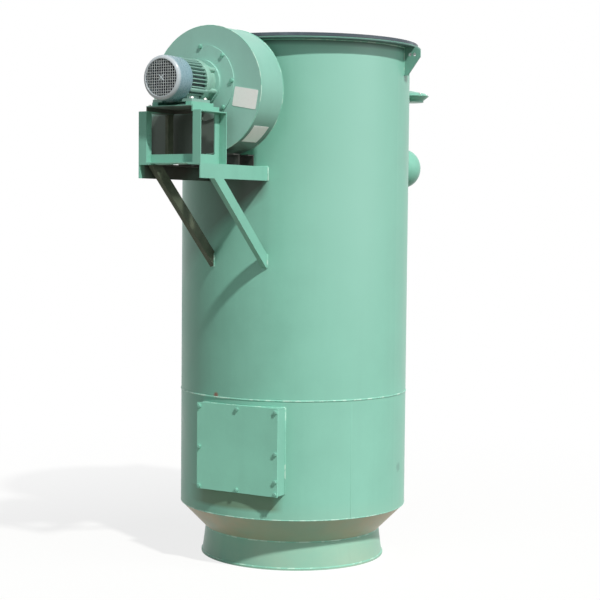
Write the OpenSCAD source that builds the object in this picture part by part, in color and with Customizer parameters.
// Bin vent dust collector: a round filter housing that stands on a silo, with
// a centrifugal fan and its motor on a bracket at the front, an access panel
// below them, and a compressed-air tank with pulse valves at the back.
// The origin is on the housing's axis at the foot of the inlet collar.
// +Z is up, the fan side faces -Y, and +X is to the right seen from the fan.
// Parts on the housing are placed from its surface and from its top flange.

/* [Housing] */
// Outside diameter of the round housing
body_d = 1100; // [1000:10:1200]
// Thickness of the housing's sheet
sheet_t = 4; // [3:0.5:8]
// Height of the underside of the top flange above the foot
body_top = 2445; // [2350:5:2550]
// Height of the girth seam between the lower and the upper shell
seam_z = 806; // [780:1:900]
// Height of the inlet collar
collar_h = 130; // [100:1:160]
// Outside diameter of the collar where it meets the cone
collar_d = 852; // [760:2:870]
// Outside diameter of the collar at its foot, where it flares
collar_foot_d = 884; // [872:2:920]
// Height of the cone between the collar and the lower shell
cone_h = 125; // [100:1:180]
// Width of the foot ring
foot_ring_w = 26; // [20:1:40]
// Thickness of the foot ring
foot_ring_t = 8; // [6:1:12]
// Distance that the foot ring stands out past the collar
foot_lip = 5; // [3:1:10]

/* [Top flange and lid] */
// Distance that the top flange stands out past the housing
flange_w = 52; // [45:1:70]
// Thickness of the top flange
flange_t = 7; // [6:1:12]
// Distance that the lid's rim is set in from the flange's edge
lid_inset = 14; // [8:1:30]
// Height of the lid's turned-down rim
lid_rim_h = 14; // [10:1:40]
// Thickness of the lid's sheet
lid_t = 4; // [3:0.5:6]
// Rise of the lid from its rim to its middle, to shed rain
lid_rise = 18; // [10:1:40]
// Thickness of the lid's seal
seal_t = 4; // [3:0.5:8]
// Width of the lid's seal
seal_w = 30; // [20:1:40]

/* [Lifting lugs] */
// Distance that a lug stands out past the housing
lug_w = 78; // [70:1:83]
// Width of a lug at its lower end
lug_foot_w = 18; // [10:1:30]
// Height of a lug
lug_h = 132; // [110:1:200]
// Thickness of a lug
lug_t = 10; // [8:1:14]
// Radius of a lug's outer top corner
lug_corner_r = 26; // [15:1:35]
// Diameter of each of the two holes in a lug
lug_hole_d = 16; // [12:1:18]
// Distance between the two holes in a lug
lug_hole_pitch = 22; // [20:1:26]
// Distance from the top flange down to the holes
lug_hole_drop = 34; // [30:1:40]
// Angle of the first lug round the housing, from +X towards +Y
lug_angle = 8; // [0:1:20]

/* [Access panel] */
// Width of the access panel
panel_w = 436; // [400:2:480]
// Height of the access panel
panel_h = 405; // [380:1:430]
// Thickness of the access panel
panel_t = 5; // [4:1:8]
// Distance from the girth seam down to the panel's upper edge
panel_drop = 27; // [15:1:60]
// Distance of the panel's middle to the right of the housing's axis
panel_dx = 28; // [0:1:40]
// Distance from the housing's front to the back of the panel
panel_out = 12; // [8:1:30]
// Width of the panel's seat, which is the frame's flange
panel_seat_w = 32; // [25:1:45]

/* [Fan bracket] */
// Distance between the outer faces of the two arms
arm_span = 320; // [300:5:340]
// Leg width of the arms' angle iron
arm_leg = 63; // [50:1:70]
// Leg thickness of the angle iron
angle_t = 5; // [4:0.5:7]
// Distance from the top flange down to the arms' top
arm_drop = 574; // [540:1:600]
// Distance that the arms stand out past the housing's front
arm_out = 531; // [515:1:550]
// Leg width of the braces' angle iron
brace_leg = 50; // [40:1:60]
// Width of the braces' narrow leg, which points to the left
brace_lip = 25; // [20:1:60]
// Distance from the arms' top down to the braces' lowest corner
brace_drop = 465; // [380:5:480]
// Distance from the housing's front to the braces' front corner
brace_out = 420; // [400:5:470]
// Leg width of the rails under the fan housing
rail_leg = 49; // [40:1:55]

/* [Motor stool] */
// Distance between the corners of the two front posts
post_gap = 240; // [220:2:246]
// Leg width of the posts' angle iron
post_leg = 40; // [30:1:45]
// Distance that the stool stands out past the housing's front
stool_out = 531; // [515:1:540]
// Depth of the stool from front to back
stool_depth = 206; // [200:1:215]
// Leg width of the cross member between the front posts
cross_leg = 40; // [30:1:50]
// Depth of the motor plate's turned-down sides
motor_plate_skirt = 22; // [15:1:30]
// Height of the raised pad strips on the motor plate
pad_h = 16; // [10:1:20]
// Distance from the motor plate's edge to the pad strips
pad_edge = 18; // [10:1:18]
// Width of each of the two strips that make the pad
pad_strip_w = 30; // [20:1:50]
// Thickness of the motor plate
motor_plate_t = 6; // [5:1:10]
// Thickness of the flat bars that carry the motor plate
side_bar_t = 5; // [4:1:8]

/* [Motor] */
// Shaft height of the motor above its plate
shaft_h = 97; // [92:1:106]
// Outside diameter of the motor's end flange
motor_flange_d = 204; // [190:2:230]
// Thickness of the motor's end flange
motor_flange_t = 14; // [10:1:20]
// Outside diameter of the motor's frame without its ribs
motor_frame_d = 168; // [150:2:176]
// Outside diameter of the fan cowl
cowl_d = 192; // [186:2:194]
// Distance that the cowl stands out past the housing's front
cowl_out = 595; // [580:1:610]
// Length of the cowl
cowl_len = 100; // [90:1:140]
// Width over the motor's two feet
foot_w = 202; // [190:2:206]
// Length of the motor's feet along the shaft
foot_len = 140; // [130:2:150]
// Width of each foot
foot_pad_w = 50; // [40:1:55]
// Thickness of the motor's feet
foot_t = 12; // [10:1:16]

/* [Fan housing] */
// Radius of the scroll's round part
scroll_r = 280; // [272:1:286]
// Distance of the scroll's middle to the right of the shaft
scroll_dx = 24; // [10:1:30]
// Distance of the scroll's middle below the shaft
scroll_drop = 30; // [24:1:36]
// Depth of the fan housing from front to back
fan_depth = 190; // [170:1:194]
// Distance from the housing's front to the back of the fan housing
fan_out = 90; // [84:1:100]
// Thickness of the fan housing's sheet
fan_sheet = 4; // [3:0.5:5]
// Height of the rectangular outlet
outlet_h = 186; // [170:2:230]
// Distance from the shaft to the outlet's mouth
outlet_reach = 275; // [270:1:320]
// Width of the outlet's flange
outlet_flange_w = 26; // [22:1:28]
// Diameter of the round plate that closes the front of the scroll
hub_plate_d = 336; // [320:2:350]
// Thickness of the round front plate
hub_plate_t = 6; // [4:1:8]
// Outside diameter of the inlet duct behind the fan
inlet_d = 236; // [200:2:250]
// Outside diameter of the fan wheel
wheel_d = 390; // [350:5:400]
// Width of the fan wheel
wheel_w = 110; // [90:1:130]
// Number of blades in the fan wheel
blade_count = 10; // [6:1:14]

/* [Air tank and pulse valves] */
// Outside diameter of the air tank
tank_d = 200; // [180:2:220]
// Distance between the welds of the tank's two heads
tank_len = 504; // [460:4:560]
// Depth of each dished head
tank_head = 90; // [70:1:95]
// Distance from the housing's back to the tank's axis
tank_out = 130; // [120:1:150]
// Distance from the top flange down to the tank's axis
tank_drop = 548; // [500:1:600]
// Thickness of the tank's wall
tank_t = 6; // [5:0.5:8]
// Distance that the end valves stand past the welds of the tank's heads
valve_end = 40; // [36:1:50]
// Diameter of a valve's round cover
valve_cover_d = 186; // [160:2:190]
// Distance from the top flange down to the underside of the valves' covers
valve_cover_drop = 201; // [180:1:220]
// Diameter of a valve's body under its cover
valve_body_d = 56; // [50:1:60]
// Distance from the tank's middle back to the valves' bodies
valve_in = 90; // [80:1:95]
// Outside diameter of the pipes between tank, valve and housing
blow_pipe_d = 44; // [36:1:50]

/* [Hidden] */
$fn = 128;
eps = 1;

body_r = body_d / 2;
bore_r = body_r - sheet_t;
shell_z = collar_h + cone_h;
flange_top = body_top + flange_t;
seal_top = flange_top + seal_t;
lid_r = body_r + flange_w - lid_inset;

// How far a cut for a round or square opening starts outside the housing.
cut = 60;

// The side of a lug is upright down to here, and then tapers to its foot.
lug_side_h = 46;
lug_hole_x = body_r + lug_w / 2;
lug_hole_z = body_top - lug_hole_drop;

// The panel's frame is a box that reaches in to the shell.
frame_edge = 3;
panel_z = seam_z - panel_drop - panel_h;
panel_y = body_r + panel_out;
frame_w = panel_w - 2 * frame_edge;
frame_h = panel_h - 2 * frame_edge;
hatch_w = frame_w - 2 * panel_seat_w;
hatch_h = frame_h - 2 * panel_seat_w;
frame_mid_z = panel_z + panel_h / 2;

arm_top = body_top - arm_drop;
arm_x = arm_span / 2;
arm_z = arm_top - arm_leg;
arm_reach = body_r + arm_out;
casing_floor = arm_top + rail_leg;

// The brace rises from the housing to the arm: its lower edge runs from the
// housing at brace_foot_z to the arm's underside at brace_reach.
brace_foot_z = arm_top - brace_drop;
brace_reach = body_r + brace_out;
brace_root = sqrt(body_r * body_r - arm_x * arm_x);
brace_slope = (arm_z - brace_foot_z) / (brace_reach - brace_root);
brace_rise = brace_leg / cos(atan(brace_slope));
brace_flange_rise = angle_t / cos(atan(brace_slope));
brace_in = 80;
left_brace_x = -arm_x + 40;

// The scroll rests on its rails, and that sets the shaft's height.
fan_back = body_r + fan_out;
fan_front = fan_back + fan_depth;
scroll_z = casing_floor + scroll_r;
shaft_z = scroll_z + scroll_drop;
hub_front = fan_front + hub_plate_t;
hub_bore = 60;
rail_inset = 10;

post_x = post_gap / 2;
stool_front = body_r + stool_out;
stool_back = stool_front - stool_depth;
plate_z = shaft_z - shaft_h;
pad_z = plate_z - pad_h;
skirt_z = pad_z - motor_plate_skirt;
post_top = skirt_z - side_bar_t;

frame_back = hub_front + motor_flange_t;
cowl_front = body_r + cowl_out;
cowl_lap = 20;
cowl_round = 24;
foot_front_gap = 3;
motor_y = stool_front - pad_edge - foot_len / 2 - foot_front_gap;
foot_web_w = 120;
foot_web_inset = 25;

wheel_gap = 36;
wheel_y = fan_front - wheel_gap;
wheel_sheet = 4;
wheel_hub_d = 50;
wheel_hub_len = 90;
wheel_hub_out = 64;
blade_angle = 24;

tank_y = body_r + tank_out;
tank_z = body_top - tank_drop;
tank_bracket_t = 8;
tank_bracket_inset = 60;
tank_bracket_x = tank_len / 2 - tank_bracket_inset;
tank_bracket_low = 40;
tank_bracket_wrap = 20;

valve_pitch = (tank_len + 2 * valve_end) / 3;
valve_cover_z = body_top - valve_cover_drop;
blow_drop = 60;
blow_z = valve_cover_z - blow_drop;
valve_body_low = 40;
valve_y = tank_y - valve_in;
valve_plate_t = 8;
blow_bore = blow_pipe_d - 6;

// A valve's cover: a flat underside, a wide edge, and a shallow dome on top.
cover_flank = 27;
cover_edge_h = 22;
cover_round = 17;
cover_round_h = 13;
cover_dome_h = 17;

module ring(d, bore, h) {
    difference() {
        cylinder(d = d, h = h);
        translate([0, 0, -eps]) cylinder(d = bore, h = h + 2 * eps);
    }
}

// A plate outline drawn in X and Z, standing from front_y back by depth.
module upright(front_y, depth) {
    translate([0, front_y + depth, 0]) rotate([90, 0, 0]) linear_extrude(depth) children();
}

module upper_shell() {
    color("mediumaquamarine")
    difference() {
        translate([0, 0, seam_z]) ring(body_d, body_d - 2 * sheet_t, body_top - seam_z);
        translate([0, -body_r + cut, shaft_z]) rotate([90, 0, 0])
            cylinder(d = inlet_d - 2 * fan_sheet, h = 2 * cut);
        for (i = [0:3]) valve_bore(i);
    }
}

module lower_shell() {
    color("mediumaquamarine")
    difference() {
        translate([0, 0, shell_z]) ring(body_d, body_d - 2 * sheet_t, seam_z - shell_z);
        translate([panel_dx - hatch_w / 2, -body_r - cut, frame_mid_z - hatch_h / 2])
            cube([hatch_w, 3 * cut, hatch_h]);
    }
}

module cone() {
    color("mediumaquamarine")
    rotate_extrude() polygon([
        [collar_d / 2, collar_h],
        [body_r, shell_z],
        [bore_r, shell_z],
        [collar_d / 2 - sheet_t, collar_h]
    ]);
}

module inlet_collar() {
    color("mediumaquamarine")
    rotate_extrude() polygon([
        [collar_foot_d / 2, foot_ring_t],
        [collar_d / 2, collar_h],
        [collar_d / 2 - sheet_t, collar_h],
        [collar_foot_d / 2 - sheet_t, foot_ring_t]
    ]);
}

module foot_ring() {
    d = collar_foot_d + 2 * foot_lip;
    color("mediumaquamarine") ring(d, d - 2 * foot_ring_w, foot_ring_t);
}

module top_flange() {
    color("mediumaquamarine")
    translate([0, 0, body_top]) ring(body_d + 2 * flange_w, body_d - 2 * sheet_t, flange_t);
}

module lid_seal() {
    color("dimgray")
    translate([0, 0, flange_top]) ring(2 * lid_r, 2 * (lid_r - seal_w), seal_t);
}

module lid() {
    rim_top = seal_top + lid_rim_h;
    color("slategray")
    rotate_extrude() polygon([
        [lid_r, seal_top],
        [lid_r, rim_top],
        [0, rim_top + lid_rise],
        [0, rim_top + lid_rise - lid_t],
        [lid_r - lid_t, rim_top - lid_t],
        [lid_r - lid_t, seal_top]
    ]);
}

module lug_outline() {
    side_x = body_r + lug_w;
    polygon([
        [bore_r, body_top - lug_h],
        [body_r + lug_foot_w, body_top - lug_h],
        [side_x, body_top - lug_side_h],
        [side_x, body_top - lug_corner_r],
        [side_x - lug_corner_r, body_top],
        [bore_r, body_top]
    ]);
    translate([side_x - lug_corner_r, body_top - lug_corner_r]) circle(r = lug_corner_r);
}

module lug(angle) {
    color("mediumaquamarine")
    rotate([0, 0, angle])
    difference() {
        translate([0, lug_t / 2, 0]) rotate([90, 0, 0]) linear_extrude(lug_t) lug_outline();
        cylinder(r = body_r, h = body_top + eps);
        for (side = [-1, 1])
            translate([lug_hole_x + side * lug_hole_pitch / 2, lug_t, lug_hole_z]) rotate([90, 0, 0])
                cylinder(d = lug_hole_d, h = 2 * lug_t, $fn = 48);
    }
}

module lifting_lug_right() { lug(lug_angle); }
module lifting_lug_left() { lug(lug_angle + 180); }

module panel_frame() {
    color("mediumaquamarine")
    difference() {
        translate([panel_dx - frame_w / 2, -panel_y, frame_mid_z - frame_h / 2])
            cube([frame_w, panel_y - body_r / 2, frame_h]);
        translate([panel_dx - hatch_w / 2, -panel_y - eps, frame_mid_z - hatch_h / 2])
            cube([hatch_w, panel_y, hatch_h]);
        cylinder(r = body_r, h = body_top);
    }
}

module access_panel() {
    color("mediumaquamarine")
    translate([panel_dx - panel_w / 2, -panel_y - panel_t, panel_z]) cube([panel_w, panel_t, panel_h]);
}

// The arms and braces are drawn for the right side and mirrored for the left.
module arm() {
    color("mediumaquamarine")
    difference() {
        union() {
            translate([arm_x - angle_t, -arm_reach, arm_z])
                cube([angle_t, arm_reach - body_r / 2, arm_leg]);
            translate([arm_x - arm_leg, -arm_reach, arm_top - angle_t])
                cube([arm_leg, arm_reach - body_r / 2, angle_t]);
        }
        cylinder(r = body_r, h = body_top);
    }
}

module arm_right() { arm(); }
module arm_left() { mirror([1, 0, 0]) arm(); }

// The band runs up along the slope to the height top_z.
module brace_band(rise, top_z) {
    reach = brace_reach + (top_z - arm_z) / brace_slope;
    polygon([
        [-reach, top_z],
        [-reach + rise / brace_slope, top_z],
        [-brace_root + brace_in, brace_foot_z - brace_in * brace_slope + rise],
        [-brace_root + brace_in, brace_foot_z - brace_in * brace_slope]
    ]);
}

module brace(right_x, top_z) {
    color("mediumaquamarine")
    difference() {
        union() {
            translate([right_x - angle_t, 0, 0]) rotate([90, 0, 90])
                linear_extrude(angle_t) brace_band(brace_rise, top_z);
            translate([right_x - brace_lip, 0, 0]) rotate([90, 0, 90])
                linear_extrude(brace_lip) brace_band(brace_flange_rise, top_z);
        }
        cylinder(r = body_r, h = body_top);
    }
}

// The right brace stands under its arm's upright leg. The left one stands
// further in, and reaches up to the underside of its arm's flat leg.
module brace_right() { brace(arm_x, arm_z); }
module brace_left() { brace(left_brace_x, arm_top - angle_t); }

// A length of equal angle along X, with its corner at the lower front.
module cross_angle(length, leg) {
    translate([-length / 2, 0, 0]) cube([length, angle_t, leg]);
    translate([-length / 2, 0, 0]) cube([length, leg, angle_t]);
}

module front_cross_member() {
    color("mediumaquamarine")
    translate([0, -stool_front + cross_leg, arm_top]) mirror([0, 1, 0])
        cross_angle(post_gap, cross_leg);
}

// A flat bar on edge closes each side of the stool between the two posts.
module side_sill_right() {
    color("mediumaquamarine")
    translate([post_x, -stool_front + post_leg, arm_top])
        cube([angle_t, stool_depth - 2 * post_leg, cross_leg]);
}

module side_sill_left() { mirror([1, 0, 0]) side_sill_right(); }

// The fan housing stands on two rails of angle iron with their flat side up.
module casing_rail() {
    translate([0, 0, casing_floor]) mirror([0, 0, 1]) cross_angle(arm_span, rail_leg);
}

module fan_rail_front() {
    color("mediumaquamarine")
    translate([0, -fan_front + rail_inset + rail_leg, 0]) mirror([0, 1, 0]) casing_rail();
}

module fan_rail_back() {
    color("mediumaquamarine")
    translate([0, -fan_back - rail_inset, 0]) mirror([0, 1, 0]) casing_rail();
}

// A post of angle iron with its corner at the origin, legs along +X and +Y.
module post() {
    color("mediumaquamarine")
    translate([0, 0, arm_top]) {
        cube([post_leg, angle_t, post_top - arm_top]);
        cube([angle_t, post_leg, post_top - arm_top]);
    }
}

module post_front_right() { translate([post_x, -stool_front, 0]) post(); }
module post_front_left() { mirror([1, 0, 0]) post_front_right(); }
module post_back_right() { translate([post_x, -stool_back, 0]) mirror([0, 1, 0]) post(); }
module post_back_left() { mirror([1, 0, 0]) post_back_right(); }

// A flat bar lies on the two posts of each side. The motor plate's turned-down
// side stands on its inner edge.
module side_bar_right() {
    color("mediumaquamarine")
    translate([post_x - motor_plate_t, -stool_front, post_top])
        cube([post_leg + motor_plate_t, stool_depth, side_bar_t]);
}

module side_bar_left() { mirror([1, 0, 0]) side_bar_right(); }

// The motor plate is turned down at both sides and at the back, and open at the
// front. A raised pad strip on each side carries the motor's feet.
module motor_plate() {
    color("mediumaquamarine") {
        difference() {
            translate([-post_x, -stool_front, skirt_z])
                cube([post_gap, stool_depth, motor_plate_skirt]);
            translate([-post_x + motor_plate_t, -stool_front - eps, skirt_z - eps])
                cube([
                    post_gap - 2 * motor_plate_t,
                    stool_depth - motor_plate_t + eps,
                    motor_plate_skirt - motor_plate_t + eps
                ]);
        }
        for (side = [0, 1])
            mirror([side, 0, 0])
                translate([post_x - pad_edge - pad_strip_w, -stool_front + pad_edge, pad_z - eps])
                    cube([pad_strip_w, stool_depth - 2 * pad_edge, pad_h + eps]);
    }
}

// The motor's shaft runs along Y through [0, shaft_z].
module on_shaft(front_y) {
    translate([0, front_y, shaft_z]) rotate([-90, 0, 0]) children();
}

module motor_flange() {
    color("mediumaquamarine")
    on_shaft(-frame_back) cylinder(d = motor_flange_d, h = motor_flange_t);
}

module motor_body() {
    color("seagreen")
    on_shaft(-cowl_front + cowl_len - cowl_lap)
        cylinder(d = motor_frame_d, h = cowl_front - cowl_len + cowl_lap - frame_back);
}

// Two flat feet, and a web between them up to the motor's frame.
module motor_feet() {
    web_len = foot_len - 2 * foot_web_inset;
    color("seagreen")
    difference() {
        translate([0, -motor_y, plate_z]) {
            for (side = [0, 1])
                mirror([side, 0, 0]) translate([foot_w / 2 - foot_pad_w, -foot_len / 2, 0])
                    cube([foot_pad_w, foot_len, foot_t]);
            translate([-foot_web_w / 2, -web_len / 2, 0]) cube([foot_web_w, web_len, shaft_h]);
        }
        on_shaft(-cowl_front) cylinder(d = motor_frame_d, h = cowl_front);
    }
}

module motor_cowl() {
    color("lightsteelblue")
    difference() {
        on_shaft(-cowl_front) rotate_extrude() polygon([
            [0, 0],
            [cowl_d / 2 - cowl_round, 0],
            [cowl_d / 2 - cowl_round / 4, cowl_round / 2],
            [cowl_d / 2, cowl_round],
            [cowl_d / 2, cowl_len],
            [0, cowl_len]
        ]);
        on_shaft(-cowl_front + cowl_len - cowl_lap) cylinder(d = motor_frame_d, h = cowl_len);
    }
}

// Outline of the scroll in X and Z: one round sweep about a centre set off
// from the shaft, and a straight outlet that leaves it at the lower left.
module scroll_outline(inset, reach) {
    translate([scroll_dx, scroll_z]) circle(r = scroll_r - inset);
    translate([-reach, casing_floor + inset])
        square([reach + scroll_dx, outlet_h - 2 * inset]);
}

module fan_front_plate() {
    color("mediumaquamarine")
    difference() {
        upright(-fan_front, fan_sheet) scroll_outline(0, outlet_reach);
        on_shaft(-fan_front - eps) cylinder(d = hub_plate_d - hub_bore, h = fan_sheet + 2 * eps);
    }
}

module fan_back_plate() {
    color("mediumaquamarine")
    difference() {
        upright(-fan_back - fan_sheet, fan_sheet) scroll_outline(0, outlet_reach);
        on_shaft(-fan_back - fan_sheet - eps)
            cylinder(d = inlet_d - 2 * fan_sheet, h = fan_sheet + 2 * eps);
    }
}

module fan_scroll() {
    depth = fan_depth - 2 * fan_sheet;
    color("mediumaquamarine")
    difference() {
        upright(-fan_front + fan_sheet, depth) scroll_outline(0, outlet_reach);
        upright(-fan_front, fan_depth) scroll_outline(fan_sheet, outlet_reach + cut);
    }
}

module hub_plate() {
    color("mediumaquamarine")
    on_shaft(-hub_front) ring(hub_plate_d, hub_bore, hub_plate_t);
}

module outlet_flange() {
    w = fan_depth + 2 * outlet_flange_w;
    h = outlet_h + 2 * outlet_flange_w;
    hole_y = (fan_depth + outlet_flange_w) / 2;
    hole_z = (outlet_h + outlet_flange_w) / 2;
    mid_z = casing_floor + outlet_h / 2;
    mid_y = -fan_back - fan_depth / 2;
    color("mediumaquamarine")
    translate([-outlet_reach, mid_y, mid_z])
    difference() {
        translate([-angle_t, -w / 2, -h / 2]) cube([angle_t, w, h]);
        translate([-angle_t - eps, -fan_depth / 2 + fan_sheet, -outlet_h / 2 + fan_sheet])
            cube([angle_t + 2 * eps, fan_depth - 2 * fan_sheet, outlet_h - 2 * fan_sheet]);
        for (y = [-1, 1], z = [-1, 1])
            translate([-angle_t - eps, y * hole_y, z * hole_z]) rotate([0, 90, 0])
                cylinder(d = 9, h = angle_t + 2 * eps, $fn = 32);
    }
}

module inlet_duct() {
    color("mediumaquamarine")
    difference() {
        on_shaft(-fan_back) cylinder(d = inlet_d, h = fan_back - body_r / 2);
        on_shaft(-fan_back - eps) cylinder(d = inlet_d - 2 * fan_sheet, h = fan_back);
        cylinder(r = body_r, h = body_top);
    }
}

// A disc on the hub, a ring on the inlet's side, and flat blades between them.
module fan_wheel() {
    ring_bore = inlet_d - 5 * wheel_sheet;
    color("slategray")
    on_shaft(-wheel_y) {
        cylinder(d = wheel_d, h = wheel_sheet);
        translate([0, 0, -wheel_hub_out]) cylinder(d = wheel_hub_d, h = wheel_hub_len, $fn = 48);
        translate([0, 0, wheel_w - wheel_sheet]) ring(wheel_d, ring_bore, wheel_sheet);
        for (i = [0:blade_count - 1])
            rotate([0, 0, i * 360 / blade_count])
                translate([ring_bore / 2, 0, 0]) rotate([0, 0, blade_angle])
                    cube([(wheel_d - ring_bore) / 2, wheel_sheet, wheel_w]);
    }
}

module tank_shell() {
    color("mediumaquamarine")
    translate([-tank_len / 2, tank_y, tank_z]) rotate([0, 90, 0])
        ring(tank_d, tank_d - 2 * tank_t, tank_len);
}

// A dished head is half of a flattened ball, drawn as an arc of points.
function dish(r, depth) = [for (a = [0:6:90]) [r * cos(a), depth * sin(a)]];

module tank_head_solid() {
    outer = dish(tank_d / 2, tank_head);
    inner = dish(tank_d / 2 - tank_t, tank_head - tank_t);
    rotate_extrude() polygon(concat(outer, [for (i = [len(inner) - 1:-1:0]) inner[i]]));
}

// The tank's outside as a full body, to cut what stands against it.
module tank_outside() {
    translate([-tank_len / 2, tank_y, tank_z]) rotate([0, 90, 0]) cylinder(d = tank_d, h = tank_len);
    for (side = [-1, 1])
        translate([side * tank_len / 2, tank_y, tank_z]) rotate([0, side * 90, 0])
            rotate_extrude() polygon(concat([[0, 0]], dish(tank_d / 2, tank_head)));
}

module tank_head_right() {
    color("mediumaquamarine")
    translate([tank_len / 2, tank_y, tank_z]) rotate([0, 90, 0]) tank_head_solid();
}

module tank_head_left() { mirror([1, 0, 0]) tank_head_right(); }

module tank_bracket_right() {
    color("mediumaquamarine")
    difference() {
        translate([
            tank_bracket_x - tank_bracket_t / 2,
            body_r / 2,
            tank_z - tank_d / 2 - tank_bracket_low
        ])
            cube([
                tank_bracket_t,
                tank_y - body_r / 2 + tank_bracket_wrap,
                tank_d + tank_bracket_low - tank_bracket_t
            ]);
        cylinder(r = body_r, h = body_top);
        tank_outside();
    }
}

module tank_bracket_left() { mirror([1, 0, 0]) tank_bracket_right(); }

// Each valve stands on a riser from the tank, and blows through a short pipe
// into the housing. Its body stands behind the tank's middle, and a plate on top
// of the body carries the wide round cover.
function valve_x(i) = (i - 1.5) * valve_pitch;

module valve_bore(i) {
    translate([valve_x(i), 0, blow_z]) rotate([-90, 0, 0])
        cylinder(d = blow_bore, h = tank_y, $fn = 48);
}

module pulse_valve(i) {
    color("mediumaquamarine")
    difference() {
        translate([valve_x(i), 0, 0]) {
            translate([0, valve_y, tank_z]) cylinder(d = blow_pipe_d, h = blow_z - tank_z, $fn = 48);
            translate([0, valve_y, blow_z - valve_body_low])
                cylinder(d = valve_body_d, h = valve_cover_z - blow_z + valve_body_low, $fn = 64);
            translate([0, body_r / 2, blow_z]) rotate([-90, 0, 0])
                cylinder(d = blow_pipe_d, h = valve_y - body_r / 2, $fn = 48);
            translate([-valve_body_d / 2, valve_y, valve_cover_z - valve_plate_t])
                cube([valve_body_d, valve_in, valve_plate_t]);
            translate([0, tank_y, valve_cover_z - valve_plate_t])
                cylinder(d = valve_cover_d - 2 * cover_flank, h = valve_plate_t, $fn = 64);
        }
        cylinder(r = body_r, h = body_top);
        tank_outside();
    }
}

module valve_cover(i) {
    r = valve_cover_d / 2;
    color("mediumaquamarine")
    translate([valve_x(i), tank_y, valve_cover_z]) rotate_extrude() polygon([
        [0, 0],
        [r - cover_flank, 0],
        [r, cover_edge_h],
        [r - cover_round, cover_edge_h + cover_round_h],
        [0, cover_edge_h + cover_round_h + cover_dome_h]
    ]);
}

module pulse_valve_1() { pulse_valve(0); }
module pulse_valve_2() { pulse_valve(1); }
module pulse_valve_3() { pulse_valve(2); }
module pulse_valve_4() { pulse_valve(3); }
module valve_covers() { for (i = [0:3]) valve_cover(i); }

foot_ring();
inlet_collar();
cone();
lower_shell();
upper_shell();
top_flange();
lid_seal();
lid();
lifting_lug_right();
lifting_lug_left();
panel_frame();
access_panel();
arm_right();
arm_left();
brace_right();
brace_left();
front_cross_member();
fan_rail_front();
fan_rail_back();
post_front_right();
post_front_left();
post_back_right();
post_back_left();
side_sill_right();
side_sill_left();
side_bar_right();
side_bar_left();
motor_plate();
motor_feet();
motor_body();
motor_flange();
motor_cowl();
hub_plate();
fan_front_plate();
fan_scroll();
fan_back_plate();
outlet_flange();
inlet_duct();
fan_wheel();
tank_shell();
tank_head_right();
tank_head_left();
tank_bracket_right();
tank_bracket_left();
pulse_valve_1();
pulse_valve_2();
pulse_valve_3();
pulse_valve_4();
valve_covers();
